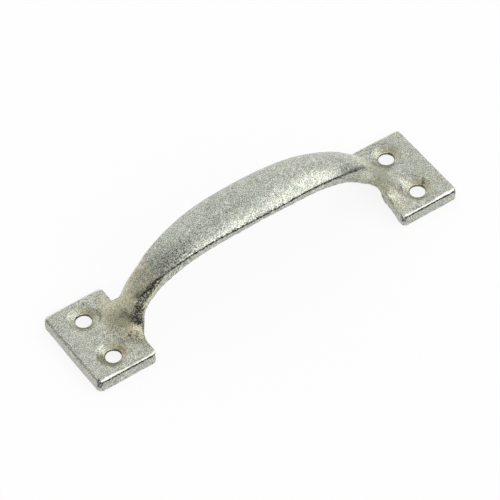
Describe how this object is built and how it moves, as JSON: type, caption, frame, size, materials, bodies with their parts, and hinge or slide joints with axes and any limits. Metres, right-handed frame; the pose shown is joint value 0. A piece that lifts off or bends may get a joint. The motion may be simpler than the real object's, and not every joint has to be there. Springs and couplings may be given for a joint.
{
  "type": "utility pull",
  "caption": "Cast utility pull: a domed, hollow-backed bow grip on two legs, each leg rising from a rectangular foot plate with countersunk screw holes.",
  "frame": {"origin": "centre of the mounting face, midway between the four screw holes", "axes": "+X along the pull from one foot plate to the other, +Z out from the door or drawer front, +Y across the pull"},
  "size_m": [0.165, 0.0394, 0.0406],
  "materials": {
    "galvanized_iron": "hot-dip zinc on malleable iron, mottled matt grey"
  },
  "bodies": {
    "root": {"pull": "galvanized_iron"}
  },
  "joints": []
}
